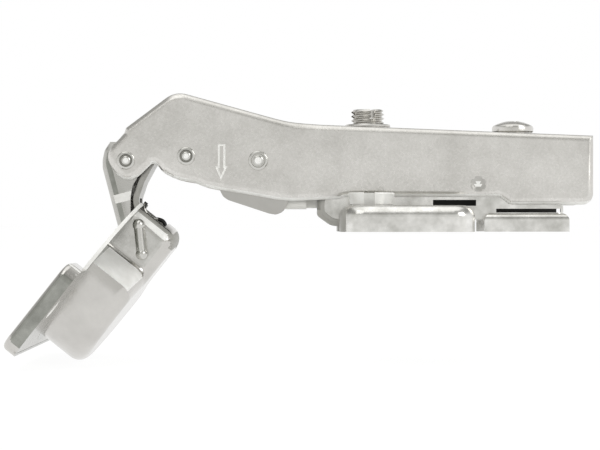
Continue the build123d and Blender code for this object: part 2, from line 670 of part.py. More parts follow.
parts = {
    "mounting_plate": make_plate(),
    "wing_collar_near": make_collar(-1),
    "wing_collar_far": make_collar(1),
    "arm": make_arm(),
    "front_pin": make_pin(front_pin_x, front_pin_z, pin_r, pin_head_r),
    "rear_pin": make_pin(rear_pin_x, rear_pin_z, pin_r, pin_head_r),
    "damper_rivet": make_pin(rivet_x, rivet_z, rivet_r, rivet_head_r),
    "adjusting_bush": make_bush(),
    "adjusting_screw": make_adjusting_screw(),
    "locking_screw": make_locking_screw(),
    "outer_link": make_outer_link(),
    "inner_link": make_inner_link(),
    "cup": make_cup(),
    "cup_pin": make_cup_pin(),
    "closing_spring": make_spring(),
    "damper_bracket": make_bracket(),
    "damper_body": make_damper_body(),
    "damper_gland": make_gland(),
    "damper_rod": make_rod(),
}

os.makedirs("parts", exist_ok=True)
for name, shape in parts.items():
    export_step(shape, f"parts/{name}.step")
    print(name, round(shape.volume, 1), shape.is_valid, len(shape.solids()))
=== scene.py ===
"""Looks and studio for a soft-closing concealed cabinet hinge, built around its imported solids."""
import logging
import math
from dataclasses import dataclass, field
from enum import Enum
from typing import Any, Callable, Sequence

import bpy
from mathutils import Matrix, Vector


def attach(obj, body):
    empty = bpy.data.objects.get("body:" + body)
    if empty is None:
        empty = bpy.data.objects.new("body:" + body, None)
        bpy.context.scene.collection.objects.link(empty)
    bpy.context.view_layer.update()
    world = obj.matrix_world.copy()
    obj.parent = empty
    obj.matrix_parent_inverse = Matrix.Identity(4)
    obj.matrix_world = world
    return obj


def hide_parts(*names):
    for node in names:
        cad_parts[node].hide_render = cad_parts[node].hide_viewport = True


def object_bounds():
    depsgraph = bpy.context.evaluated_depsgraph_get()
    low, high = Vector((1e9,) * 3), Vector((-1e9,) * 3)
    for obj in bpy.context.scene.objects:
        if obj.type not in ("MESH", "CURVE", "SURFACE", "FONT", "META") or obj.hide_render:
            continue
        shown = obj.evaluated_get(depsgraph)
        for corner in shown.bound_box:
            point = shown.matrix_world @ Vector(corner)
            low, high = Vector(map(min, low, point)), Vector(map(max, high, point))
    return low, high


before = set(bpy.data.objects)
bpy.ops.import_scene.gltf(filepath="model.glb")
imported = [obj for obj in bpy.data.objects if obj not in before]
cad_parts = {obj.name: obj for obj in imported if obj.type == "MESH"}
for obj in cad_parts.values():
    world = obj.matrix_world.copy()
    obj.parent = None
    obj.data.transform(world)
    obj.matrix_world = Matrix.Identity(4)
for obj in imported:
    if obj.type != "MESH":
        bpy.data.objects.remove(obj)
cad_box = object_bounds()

log = logging.getLogger("hinge")

MM = 0.001
Object = bpy.types.Object
Material = bpy.types.Material
Point = tuple[float, float, float]
Step = tuple[float, float]


# Bench: the few moves that every new piece is made with, in millimetres until it is finished


def deselect() -> None:
    """Leave edit mode and let go of everything, the CAD nodes included."""
    if bpy.context.mode != "OBJECT":
        bpy.ops.object.mode_set(mode="OBJECT")
    bpy.ops.object.select_all(action="DESELECT")


def take(obj: Object) -> None:
    """Make one object the only selected one.

    Args:
        obj: the object to work on next.
    """
    deselect()
    obj.select_set(True)
    bpy.context.view_layer.objects.active = obj


def edit_all(obj: Object) -> None:
    """Open an object in edit mode with all of its mesh selected.

    Args:
        obj: the object to open.
    """
    take(obj)
    bpy.ops.object.mode_set(mode="EDIT")
    bpy.ops.mesh.select_all(action="SELECT")


def turned(name: str, profile: Sequence[Step], segments: int = 48) -> Object:
    """Turn a round piece about Z, ring by ring, as on a lathe.

    Args:
        name: name of the new object.
        profile: radius and height of each ring, from one end to the other.
        segments: number of flats round the piece.

    Returns:
        The closed piece, still in millimetres.
    """
    deselect()
    radius, height = profile[0]
    bpy.ops.mesh.primitive_circle_add(
        vertices=segments, radius=radius, fill_type="NGON", location=(0, 0, height)
    )
    obj = bpy.context.active_object
    obj.name = name
    bpy.ops.object.transform_apply(location=True, rotation=True, scale=True)
    edit_all(obj)
    for (r0, z0), (r1, z1) in zip(profile, profile[1:]):
        bpy.ops.mesh.extrude_region_move(TRANSFORM_OT_translate={"value": (0, 0, z1 - z0)})
        if r1 != r0:
            bpy.ops.transform.resize(value=(r1 / r0, r1 / r0, 1), center_override=(0, 0, z1))
    tidy_faces(obj)
    return obj


def tidy_faces(obj: Object) -> None:
    """Weld doubles and turn all faces outwards.

    Args:
        obj: the closed piece.
    """
    edit_all(obj)
    bpy.ops.mesh.remove_doubles(threshold=0.0005)
    bpy.ops.mesh.normals_make_consistent(inside=False)
    bpy.ops.object.mode_set(mode="OBJECT")


def threaded(name: str, crest: float, root: float, pitch: float, low: float, high: float, steps: int = 36) -> Object:
    """Cut a screw thread on a round bar about Z.

    Args:
        name: name of the new object.
        crest: radius over the thread.
        root: radius at the bottom of the thread.
        pitch: rise of one turn.
        low: height of the lower end.
        high: height of the upper end.
        steps: flats in one turn.

    Returns:
        The closed bar, still in millimetres.
    """
    deselect()
    start = low - 1.5 * pitch
    bpy.ops.mesh.primitive_plane_add(size=0.1, location=(root, 0, start))
    obj = bpy.context.active_object
    obj.name = name
    bpy.ops.object.transform_apply(location=True, rotation=True, scale=True)
    edit_all(obj)
    bpy.ops.mesh.merge(type="CENTER")
    depth = crest - root
    moves = ((depth, 0.38), (0.0, 0.14), (-depth, 0.38), (0.0, 0.10))
    for across, up in moves:
        bpy.ops.mesh.extrude_region_move(TRANSFORM_OT_translate={"value": (across, 0, up * pitch)})
    bpy.ops.object.mode_set(mode="OBJECT")
    screw = obj.modifiers.new("Thread", "SCREW")
    screw.axis = "Z"
    screw.angle = 2 * math.pi
    screw.screw_offset = pitch
    screw.iterations = int(math.ceil((high - low) / pitch)) + 3
    screw.steps = steps
    screw.render_steps = steps
    screw.use_merge_vertices = True
    screw.merge_threshold = 0.0005
    apply_modifiers(obj)
    edit_all(obj)
    bpy.ops.mesh.remove_doubles(threshold=0.0005)
    bpy.ops.mesh.select_all(action="SELECT")
    bpy.ops.mesh.bisect(plane_co=(0, 0, low), plane_no=(0, 0, 1), use_fill=True, clear_inner=True)
    bpy.ops.mesh.select_all(action="SELECT")
    bpy.ops.mesh.bisect(plane_co=(0, 0, high), plane_no=(0, 0, 1), use_fill=True, clear_outer=True)
    tidy_faces(obj)
    return obj


def apply_modifiers(obj: Object) -> None:
    """Apply every modifier of an object in order.

    Args:
        obj: the object whose modifiers become mesh.
    """
    take(obj)
    for name in [m.name for m in obj.modifiers]:
        bpy.ops.object.modifier_apply(modifier=name)


def shape_with(obj: Object, tool: Object, how: str) -> None:
    """Cut, join or trim a piece with another one, which is used up.

    Args:
        obj: the piece that stays.
        tool: the piece that shapes it.
        how: DIFFERENCE, UNION or INTERSECT.
    """
    step = obj.modifiers.new("Shape", "BOOLEAN")
    step.operation = how
    step.object = tool
    step.solver = "EXACT"
    apply_modifiers(obj)
    bpy.data.objects.remove(tool, do_unlink=True)


def bar(name: str, size: Point, at: Point, turn_deg: float = 0.0) -> Object:
    """Make a plain bar to cut slots with.

    Args:
        name: name of the new object.
        size: length along X, Y and Z.
        at: centre of the bar.
        turn_deg: turn about Z.

    Returns:
        The bar, still in millimetres.
    """
    deselect()
    bpy.ops.mesh.primitive_cube_add(size=1, location=at, rotation=(0, 0, math.radians(turn_deg)))
    obj = bpy.context.active_object
    obj.name = name
    obj.scale = size
    bpy.ops.object.transform_apply(location=True, rotation=True, scale=True)
    return obj


def soften(obj: Object, width: float, angle_deg: float = 35.0, segments: int = 2) -> None:
    """Break the sharp edges of a piece with a small bevel.

    Args:
        obj: the piece.
        width: width of the bevel.
        angle_deg: only edges that turn by more than this are broken.
        segments: steps across the bevel.
    """
    bevel = obj.modifiers.new("Edges", "BEVEL")
    bevel.width = width
    bevel.segments = segments
    bevel.limit_method = "ANGLE"
    bevel.angle_limit = math.radians(angle_deg)
    apply_modifiers(obj)


def place(obj: Object, at: Point, turn: Point = (0.0, 0.0, 0.0)) -> None:
    """Put a millimetre piece in its place and bring it to metres, its object left at the origin.

    Args:
        obj: the piece.
        at: where its own origin goes, in millimetres.
        turn: turns about X, Y and Z in degrees, made before the move.
    """
    take(obj)
    obj.rotation_euler = [math.radians(a) for a in turn]
    obj.location = [v * MM for v in at]
    obj.scale = (MM, MM, MM)
    bpy.ops.object.transform_apply(location=True, rotation=True, scale=True)


def place_mm(obj: Object, at: Point) -> None:
    """Move a piece that is still in millimetres.

    Args:
        obj: the piece.
        at: where its own origin goes.
    """
    take(obj)
    obj.location = at
    bpy.ops.object.transform_apply(location=True, rotation=True, scale=True)


def refined(node: str, name: str, break_mm: float) -> Object:
    """Copy a CAD node and break its sharp edges, as plating and tumbling leave them.

    Args:
        node: CAD node to start from.
        name: name of the new object.
        break_mm: width of the broken edges, 0 for none.

    Returns:
        The copy, in metres and in its place.
    """
    obj = bpy.data.objects.new(name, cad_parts[node].data.copy())
    bpy.context.scene.collection.objects.link(obj)
    obj.data.materials.clear()
    edit_all(obj)
    bpy.ops.mesh.customdata_custom_splitnormals_clear()
    bpy.ops.mesh.remove_doubles(threshold=0.000002)
    bpy.ops.mesh.select_all(action="SELECT")
    bpy.ops.mesh.dissolve_limited(angle_limit=math.radians(0.6))
    bpy.ops.object.mode_set(mode="OBJECT")
    if break_mm:
        soften(obj, break_mm * MM, 34.0)
    smooth(obj, 32.0)
    level = obj.modifiers.new("Level", "WEIGHTED_NORMAL")
    level.weight = 100
    level.keep_sharp = True
    apply_modifiers(obj)
    return obj


def smooth(obj: Object, angle_deg: float = 30.0) -> None:
    """Shade a piece smooth across its soft edges.

    Args:
        obj: the piece.
        angle_deg: edges sharper than this stay crisp.
    """
    take(obj)
    bpy.ops.object.shade_smooth_by_angle(angle=math.radians(angle_deg))


# Finishes


def linear(hex_colour: str) -> tuple[float, float, float, float]:
    """Turn an sRGB hex colour into linear values.

    Args:
        hex_colour: six hex digits after a hash.

    Returns:
        Red, green, blue and full opacity.
    """
    parts = [int(hex_colour[i:i + 2], 16) / 255 for i in (1, 3, 5)]
    values = [c / 12.92 if c <= 0.04045 else ((c + 0.055) / 1.055) ** 2.4 for c in parts]
    return values[0], values[1], values[2], 1.0


def add_node(tree: Any, kind: str, inputs: dict[str | int, Any] | None = None, **settings: Any) -> Any:
    """Add a node with its settings, and set or link its inputs.

    Args:
        tree: the node tree.
        kind: the node's type name.
        inputs: a value or another node's output for each named input.
        settings: attributes of the node itself.

    Returns:
        The new node.
    """
    node = tree.nodes.new(kind)
    for key, value in settings.items():
        setattr(node, key, value)
    for key, value in (inputs or {}).items():
        if isinstance(value, bpy.types.NodeSocket):
            tree.links.new(value, node.inputs[key])
        else:
            node.inputs[key].default_value = value
    return node


class Grain(Enum):
    """How the surface was made, which gives the direction of its fine marks."""

    ROLLED = (0.35, 2.6, 2.6)
    DRAWN = (2.4, 2.4, 0.5)
    TURNED = (0.25, 0.25, 7.0)
    MOULDED = (3.0, 3.0, 3.0)
    TUMBLED = (1.5, 1.7, 1.7)


@dataclass(frozen=True)
class Finish:
    """One real finish: its colour, how it scatters light and its fine relief.

    Attributes:
        name: common name of the finish.
        colour: main colour.
        shade: colour of its duller patches.
        roughness: typical roughness.
        spread: how far the roughness wanders.
        metallic: 1 for metal, 0 for plastic.
        grain: direction of its fine marks.
        relief: height of its fine marks in millimetres.
        wave: height of its slow waviness in millimetres.
        wave_mm: size of that waviness.
        patch_mm: size of its duller patches.
        clear: how clearly the patches stand out, 0 to 1.
        speck: how much the fine marks show in its colour, 0 to 1.
    """

    name: str
    colour: str
    shade: str
    roughness: float
    spread: float
    metallic: float
    grain: Grain
    relief: float
    wave: float = 0.0
    wave_mm: float = 6.0
    patch_mm: float = 4.5
    clear: float = 0.2
    speck: float = 0.0

    def material(self) -> Material:
        """Build the finish as a material.

        Returns:
            The new material.
        """
        made = bpy.data.materials.new(self.name)
        made.use_nodes = True
        tree = made.node_tree
        tree.nodes.clear()
        where = add_node(tree, "ShaderNodeTexCoord").outputs["Object"]
        in_mm = add_node(tree, "ShaderNodeMapping", {"Vector": where, "Scale": (1000, 1000, 1000)}).outputs[0]
        cloud = add_node(
            tree, "ShaderNodeTexNoise", {"Vector": in_mm, "Scale": 1 / self.patch_mm, "Detail": 3.0, "Roughness": 0.6}
        ).outputs["Fac"]
        half = 0.5 * (1.0 - 0.75 * self.clear)
        patches = add_node(tree, "ShaderNodeMapRange", {
            "Value": cloud, "From Min": 0.5 - half, "From Max": 0.5 + half
        }).outputs[0]
        stretch = tuple(1000 * s for s in self.grain.value)
        along = add_node(tree, "ShaderNodeMapping", {"Vector": where, "Scale": stretch}).outputs[0]
        marks = add_node(
            tree, "ShaderNodeTexNoise", {"Vector": along, "Scale": 1.6, "Detail": 4.0, "Roughness": 0.65}
        ).outputs["Fac"]
        specks = add_node(tree, "ShaderNodeMapRange", {
            "Value": marks, "From Min": 0.25, "From Max": 0.75, "To Min": -self.speck, "To Max": self.speck
        }).outputs[0]
        dulled = add_node(tree, "ShaderNodeMath", {0: patches, 1: specks}, operation="ADD", use_clamp=True).outputs[0]
        mixed = add_node(tree, "ShaderNodeMix", {
            "Factor": dulled, "A": linear(self.colour), "B": linear(self.shade)
        }, data_type="RGBA")
        dull = add_node(tree, "ShaderNodeMapRange", {
            "Value": marks, "From Min": 0.3, "From Max": 0.7,
            "To Min": self.roughness - self.spread, "To Max": self.roughness + self.spread,
        }).outputs[0]
        fine = add_node(tree, "ShaderNodeBump", {
            "Height": marks, "Strength": 1.0, "Distance": self.relief * MM,
        }).outputs[0]
        normal = fine
        if self.wave:
            swell = add_node(tree, "ShaderNodeTexNoise", {
                "Vector": in_mm, "Scale": 1 / self.wave_mm, "Detail": 1.0
            }).outputs["Fac"]
            normal = add_node(tree, "ShaderNodeBump", {
                "Height": swell, "Strength": 1.0, "Distance": self.wave * MM, "Normal": fine,
            }).outputs[0]
        shader = add_node(tree, "ShaderNodeBsdfPrincipled", {
            "Base Color": mixed.outputs[2], "Metallic": self.metallic, "Roughness": dull, "Normal": normal,
        })
        add_node(tree, "ShaderNodeOutputMaterial", {"Surface": shader.outputs[0]})
        return made


class Finishes:
    """The hinge's finishes, each made once."""

    # Satin nickel plate on steel strip, tumbled after bending: soft, slightly warm and finely speckled
    SHEET = Finish("satin_nickel_on_strip", "#E6E4E0", "#C2C0BB", 0.3, 0.05, 1.0, Grain.TUMBLED, 0.0025,
                   patch_mm=10.0, clear=0.4, speck=0.28)
    # Bright nickel on deep-drawn steel: glossier, reflections run and darken over the bends
    DRAWN = Finish("bright_nickel_on_drawn_steel", "#D3D1CD", "#C2C0BC", 0.18, 0.04, 1.0, Grain.DRAWN, 0.001,
                   wave=0.014, wave_mm=5.0)
    # The same sheet on the pocket walls that a punch pressed in: duller, and a tone darker as painted shade in these
    # hollows
    POCKET_SHADE = Finish("painted_shade_on_pocket_wall", "#D6D5D1", "#B3B2AD", 0.24, 0.04, 1.0, Grain.DRAWN, 0.0012,
                  wave=0.012, wave_mm=4.0, patch_mm=3.0, clear=0.5)
    # Cut edges, inside of the cup's notch and nose of the plate: matt, and a darker grey as painted shade there
    NOTCH = Finish("matt_nickel_with_painted_shade", "#B9B8B3", "#A09F99", 0.5, 0.05, 0.3, Grain.DRAWN, 0.001)
    # Painted shade: a darker grey on the tray's outer sides, the flange's underside, bands at the cup's end corners
    # and a strip beside the link's bend, standing in for the dark reflections and shade there
    PAINTED_SHADE = Finish("painted_shade_on_drawn_nickel", "#B0B1AB", "#858680", 0.22, 0.04, 1.0, Grain.DRAWN, 0.001,
                    patch_mm=3.5, clear=0.5)
    # Painted highlight: near-white matt nickel on the cup's steep ramps, end corners and rim, in the sleeve bores, on
    # the arm's undersides and in a band on the outer link
    PAINTED_HIGHLIGHT = Finish("painted_highlight_matt_nickel", "#FFFFFD", "#E6E5E1", 0.42, 0.04, 0.05, Grain.DRAWN, 0.001,
                  patch_mm=3.0, clear=0.5)
    # Bright nickel on a blanked and pressed plate, mottled light and dark at random as painted reflections
    PRESSED = Finish("nickel_on_pressed_plate_with_painted_reflections", "#FDFCF9", "#ABAAA4", 0.22, 0.04, 1.0, Grain.DRAWN, 0.001,
                     wave=0.02, wave_mm=3.5, patch_mm=5.5, clear=0.6)
    # Painted shade: near black inside the rail, where no light reaches
    RAIL_SHADE = Finish("painted_shade_inside_rail", "#2E2E2B", "#232321", 0.5, 0.05, 0.6, Grain.ROLLED, 0.001)
    # Nickel on blanked steel links: duller and darker than the arm
    LINK = Finish("nickel_on_blanked_steel", "#CDCCC8", "#B0AFAA", 0.28, 0.04, 1.0, Grain.ROLLED, 0.0012)
    # The inner link, a tone darker still
    LINK_DARK = Finish("darker_nickel_on_blanked_steel", "#B0AFAA", "#9A9993", 0.3, 0.04, 1.0, Grain.ROLLED, 0.0012)
    # Dull nickel of the damper's bracket, plain grey; on the round press mark's wall the same grey is painted shade
    DULL = Finish("dull_nickel_on_blanked_steel", "#C2C0BC", "#B1B0AB", 0.36, 0.04, 1.0, Grain.ROLLED, 0.001)
    # Painted highlight: near white on the pressed arrow, the middle of the round press mark and the middles of the
    # rivet heads
    MARK_HIGHLIGHT = Finish("painted_highlight_on_pressed_mark", "#FFFFFD", "#F0EFEC", 0.42, 0.04, 0.2, Grain.MOULDED, 0.0008)
    # Painted shade: a darker grey on the floor of the closing tool's ring in the rivet heads
    RING_SHADE = Finish("painted_shade_in_rivet_ring", "#96958F", "#84837D", 0.42, 0.05, 0.9, Grain.TURNED, 0.0015)
    # Nickel-plated turned steel: rings of the cutting tool round the axis
    TURNED = Finish("nickel_on_turned_steel", "#E2E0DC", "#C2C0BB", 0.22, 0.04, 1.0, Grain.TURNED, 0.002)
    # Collars near white and scarcely metallic, as painted highlight
    COLLAR_HIGHLIGHT = Finish("painted_highlight_on_turned_collar", "#FFFFFD", "#E2E1DC", 0.3, 0.04, 0.2, Grain.TURNED, 0.002)
    # Bright drawn steel pins, headed cold
    PIN = Finish("bright_drawn_steel", "#D4D3CF", "#C4C3BE", 0.24, 0.04, 1.0, Grain.TURNED, 0.002)
    # Oiled black spring wire
    SPRING = Finish("oiled_spring_wire", "#1B1B1A", "#262624", 0.34, 0.08, 0.0, Grain.ROLLED, 0.003)
    # Grey acetal housing, moulded with a fine spark texture
    ACETAL = Finish("moulded_grey_acetal", "#ECEBE7", "#DDDCD7", 0.48, 0.06, 0.0, Grain.MOULDED, 0.006)
    # Ground steel damper rod
    GROUND = Finish("ground_steel", "#CFCECB", "#C2C1BD", 0.16, 0.04, 1.0, Grain.TURNED, 0.002)

    def __init__(self) -> None:
        """Start with none built."""
        self.built: dict[str, Material] = {}

    def get(self, finish: Finish) -> Material:
        """Give the material of a finish, building it at first use.

        Args:
            finish: the finish wanted.

        Returns:
            Its material.
        """
        if finish.name not in self.built:
            self.built[finish.name] = finish.material()
        return self.built[finish.name]


def dress(obj: Object, material: Material) -> None:
    """Give all of an object one material.

    Args:
        obj: the object.
        material: the material for its whole surface.
    """
    obj.data.materials.clear()
    obj.data.materials.append(material)


@dataclass
class SubAssembly:
    """A group of pieces that is made and dressed together.

    Attributes:
        finishes: the shared finishes.
    """

    finishes: Finishes

    def keep(self, node: str, finish: Finish) -> None:
        """Dress a CAD node that stays in view.

        Args:
            node: name of the node.
            finish: what it is finished in.
        """
        dress(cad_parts[node], self.finishes.get(finish))
        log.info("dressed node %s in %s", node, finish.name)

    def fit(self, obj: Object, body: str, slot: str, finish: Finish, nodes: Sequence[str] = ()) -> None:
        """Finish a new piece: dress it, let it ride on its body and stand for its CAD nodes.

        Args:
            obj: the new piece, already in its place.
            body: CAD body that carries it.
            slot: material slot of the record; not used.
            finish: what it is finished in.
            nodes: CAD nodes that it stands for.
        """
        dress(obj, self.finishes.get(finish))
        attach(obj, body)
        if nodes:
            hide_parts(*nodes)
        log.info("made %s with %d faces", obj.name, len(obj.data.polygons))

    def touch(self, obj: Object, finish: Finish, where: Callable[[Vector, Vector], bool]) -> None:
        """Give some faces of a dressed piece another finish.

        Args:
            obj: the piece, dressed and in its place.
            finish: what these faces are finished in.
            where: tells from a face's centre in millimetres and its normal whether it is one of them.
        """
        obj.data.materials.append(self.finishes.get(finish))
        slot = len(obj.data.materials) - 1
        for face in obj.data.polygons:
            if where(face.center / MM, face.normal):
                face.material_index = slot


@dataclass
class Plate(SubAssembly):
    """Mounting plate with its two screw collars and the locking screw.

    Attributes:
        lock_x: place of the locking screw along the arm.
        head_low: underside of the screw's head.
        head_r: radius of the head.
        shank_r: radius over its thread.
        shank_low: lower end of the screw.
        nose_x: end of the plate's nose along the arm, where it takes painted shade.
        rail: half width and height of the room inside the rail.
        rail_x: front end of that room.
    """

    lock_x: float = 30.55
    head_low: float = 20.95
    head_r: float = 4.38
    shank_r: float = 2.5
    shank_low: float = 13.0
    nose_x: float = -5.3
    rail: Step = (5.4, 13.0)
    rail_x: float = -5.0

    def build(self) -> None:
        """Dress the plate and collars and make the screw."""
        self.plate()
        # The collars get painted highlight: near-white, scarcely metallic nickel
        self.keep("wing_collar_near", Finishes.COLLAR_HIGHLIGHT)
        self.keep("wing_collar_far", Finishes.COLLAR_HIGHLIGHT)
        self.locking_screw()

    def plate(self) -> None:
        """Finish the pressed plate, with painted shade on its nose and near-black painted shade inside its rail."""
        plate = refined("mounting_plate", "plate_pressed", 0.12)
        self.fit(plate, "plate", "nickel_sheet", Finishes.PRESSED, ["mounting_plate"])
        # Painted shade on the plate's nose; near-black painted shade inside the rail
        self.touch(plate, Finishes.NOTCH, lambda at, way: at.x < self.nose_x)
        self.touch(plate, Finishes.RAIL_SHADE, lambda at, way: (
            abs(at.y) < self.rail[0] and at.z < self.rail[1] and at.x > self.rail_x
        ))

    def locking_screw(self) -> None:
        """Make the pan-head screw with its cross recess and thread."""
        z, r = self.head_low, self.head_r
        screw = turned("locking_screw_detail", [
            (self.shank_r - 0.1, z - 1.2), (self.shank_r, z - 0.6), (self.shank_r, z), (r - 0.25, z), (r, z + 0.25),
            (r, z + 0.95), (r - 0.12, z + 1.3), (r - 0.42, z + 1.55), (r - 1.1, z + 1.86), (r - 2.0, z + 2.18),
            (r - 3.0, z + 2.4), (r - 3.9, z + 2.5),
        ], 64)
        top = (0, 0, z + 2.6)
        for turn in (20.0, 110.0):
            shape_with(screw, bar("recess", (4.5, 0.85, 3.2), top, turn), "DIFFERENCE")
        for turn in (65.0, 155.0):
            shape_with(screw, bar("recess_corner", (2.3, 0.5, 2.4), top, turn), "DIFFERENCE")
        bolt = threaded("bolt", self.shank_r, self.shank_r - 0.45, 0.8, self.shank_low, z - 0.9)
        shape_with(screw, bolt, "UNION")
        soften(screw, 0.06, 50.0, 1)
        place(screw, (self.lock_x, 0, 0))
        smooth(screw)
        self.fit(screw, "locking_screw", "plated_screw", Finishes.TURNED, ["locking_screw"])


@dataclass
class Arm(SubAssembly):
    """Bent arm with its pins, bush, adjusting screw and the damper inside it.

    Attributes:
        half: half the arm's width.
        pins: side place of each riveted pin, with its shank and head radius.
        screw_x: place of the adjusting screw along the arm.
        arrow: reach of the pressed arrow along the arm, and its heights.
        dimple: place of the round press mark along the arm, its height and the radius of its painted highlight in the
            middle.
        skin: depth below the arm's side from which a face belongs to a pressed mark.
    """

    half: float = 7.9
    pins: dict[str, tuple[float, float, float, float]] = field(default_factory=lambda: {
        "front_pin": (-50.79, 14.82, 1.5, 1.9),
        "rear_pin": (-38.25, 15.73, 1.5, 1.9),
        "damper_rivet": (-23.26, 14.8, 1.2, 2.05),
    })
    screw_x: float = -0.2
    arrow: tuple[Step, Step] = ((-31.8, -27.4), (9.2, 21.0))
    dimple: tuple[float, float, float] = (22.54, 9.93, 0.6)
    skin: float = 0.03

    def build(self) -> None:
        """Dress the arm and make its small parts."""
        self.channel()
        self.keep("damper_bracket", Finishes.DULL)
        self.keep("damper_gland", Finishes.ACETAL)
        self.keep("damper_rod", Finishes.GROUND)
        self.keep("damper_body", Finishes.ACETAL)
        for name in self.pins:
            self.pin(name)
        self.bush()
        self.adjusting_screw()

    def channel(self) -> None:
        """Finish the bent channel: broken edges, painted highlight on its undersides, and its two pressed marks
        picked out in painted highlight and painted shade.
        """
        arm = refined("arm", "arm_channel", 0.24)
        self.fit(arm, "arm", "nickel_sheet", Finishes.SHEET, ["arm"])
        (left, right), (low, high) = self.arrow
        # Painted highlight: the pressed arrow's recessed faces near white
        self.touch(arm, Finishes.MARK_HIGHLIGHT, lambda at, way: (
            left < at.x < right and low < at.z < high and -self.half + self.skin < at.y < -self.half + 0.6
        ))
        # Painted highlight: the downward faces of the side walls near white
        self.touch(arm, Finishes.PAINTED_HIGHLIGHT, lambda at, way: way.z < -0.55 and abs(at.y) > self.half - 1.2)
        dot_x, dot_z, dot_r = self.dimple
        # The round press mark: painted shade on its wall, painted highlight in its middle
        for finish, reach in ((Finishes.DULL, 2.6 * dot_r), (Finishes.MARK_HIGHLIGHT, dot_r)):
            self.touch(arm, finish, lambda at, way: (
                math.hypot(at.x - dot_x, at.z - dot_z) < reach and -self.half + self.skin < at.y < 0
            ))

    def pin(self, node: str) -> None:
        """Make one riveted pin, its heads ringed by the closing tool, with painted shade in the ring and a painted
        highlight in the middle.

        Args:
            node: CAD node that the pin stands for.
        """
        x, z, shank, head = self.pins[node]
        h, rise = self.half, 0.45
        side = [
            (shank, h - 0.02), (head, h), (head, h + rise * 0.45), (head - 0.1, h + rise * 0.8),
            (head - 0.28, h + rise), (head - 0.55, h + rise), (head - 0.72, h + rise * 0.55),
            (head - 0.95, h + rise * 0.55), (head - 1.12, h + rise * 0.9), (head - 1.35, h + rise * 0.97),
        ]
        profile = [(r, -y) for r, y in reversed(side)] + side
        rivet = turned(node + "_headed", profile, 40)
        place(rivet, (x, 0, z), (90, 0, 0))
        smooth(rivet, 40)
        self.fit(rivet, "arm", "pin_steel", Finishes.PIN, [node])
        if node != "damper_rivet":
            # Painted shade in the tool's ring
            self.touch(rivet, Finishes.RING_SHADE, lambda at, way: (
                head - 0.97 < math.hypot(at.x - x, at.z - z) < head - 0.6
            ))
        # Painted highlight in the middle of each head
        self.touch(rivet, Finishes.MARK_HIGHLIGHT, lambda at, way: math.hypot(at.x - x, at.z - z) < head - 1.3)

    def bush(self) -> None:
        """Make the riveted bush round the adjusting screw."""
        outer = turned("bush_detail", [
            (4.3, 20.31), (4.3, 22.12), (4.7, 22.12), (4.8, 22.2), (4.8, 22.5), (4.74, 22.6), (4.6, 22.66),
            (3.9, 22.66), (3.66, 22.5), (3.6, 22.3),
        ], 64)
        hole = turned("hole", [(3.55, 19.0), (3.55, 24.0)], 64)
        shape_with(outer, hole, "DIFFERENCE")
        place(outer, (self.screw_x, 0, 0))
        smooth(outer)
        self.fit(outer, "arm", "plated_screw", Finishes.TURNED, ["adjusting_bush"])

    def adjusting_screw(self) -> None:
        """Make the adjusting screw: threaded, slotted on top, with a neck and foot in the rail."""
        screw = threaded("adjusting_screw_detail", 3.5, 2.98, 0.87, 14.4, 25.8, 40)
        envelope = turned("envelope", [(2.9, 14.3), (3.5, 14.9), (3.5, 25.4), (3.1, 25.8)], 64)
        shape_with(screw, envelope, "INTERSECT")
        foot = turned("foot", [
            (2.95, 11.2), (3.2, 11.45), (3.2, 12.35), (2.95, 12.6), (2.0, 12.62), (2.0, 14.6),
        ], 48)
        shape_with(screw, foot, "UNION")
        for turn in (16.0, 106.0):
            shape_with(screw, bar("slot", (9.0, 1.0, 3.6), (0, 0, 25.8), turn), "DIFFERENCE")
        place(screw, (self.screw_x, 0, 0))
        smooth(screw, 25)
        self.fit(screw, "adjusting_screw", "plated_screw", Finishes.TURNED, ["adjusting_screw"])


@dataclass
class Linkage(SubAssembly):
    """The two links between arm and cup.

    Attributes:
        highlight_band: heights between which the outer link gets a band of painted highlight beside the arm's lip, on
            a slant.
        lip_way: direction in which those heights are counted.
        bent: reach of the strip of painted shade beside the outer link's bend, square to its web.
        bend_way: direction in which that reach is counted.
        wall: inner side of the links' side walls.
    """

    highlight_band: Step = (19.1, 20.95)
    lip_way: Point = (-0.25, 0, 1)
    bent: Step = (48.85, 49.85)
    bend_way: Point = (-0.97, 0, -0.25)
    wall: float = 6.4

    def build(self) -> None:
        """Dress the links, with a strip of painted shade beside the outer link's bend and a band of painted highlight
        on a slant beside the arm's lip.
        """
        for node, finish in (("outer_link", Finishes.LINK), ("inner_link", Finishes.LINK_DARK)):
            link = refined(node, node + "_pressed", 0.14)
            edit_all(link)
            for limits, way in ((self.highlight_band, self.lip_way), (self.bent, self.bend_way)):
                for reach in limits:
                    at = Vector(way) * (reach * MM / Vector(way).length_squared)
                    bpy.ops.mesh.select_all(action="SELECT")
                    bpy.ops.mesh.bisect(plane_co=at, plane_no=way)
            bpy.ops.object.mode_set(mode="OBJECT")
            self.fit(link, node, "link_steel", finish, [node])
            # Painted shade beside the bend, painted highlight in the band beside the arm's lip
            self.touch(link, Finishes.PAINTED_SHADE, lambda at, way: self.in_band(at, way, self.bent, self.bend_way))
            self.touch(link, Finishes.PAINTED_HIGHLIGHT, lambda at, way: self.in_band(at, way, self.highlight_band, self.lip_way))

    def in_band(self, at: Vector, way: Vector, limits: Step, along: Point) -> bool:
        """Tell whether a face lies on a link's outer side, between two cuts.

        Args:
            at: the face's centre.
            way: the face's normal.
            limits: where the band starts and ends.
            along: direction in which that is counted.

        Returns:
            True for a face of the band.
        """
        return abs(at.y) > self.wall and abs(way.y) > 0.98 and limits[0] < Vector(along).dot(at) < limits[1]


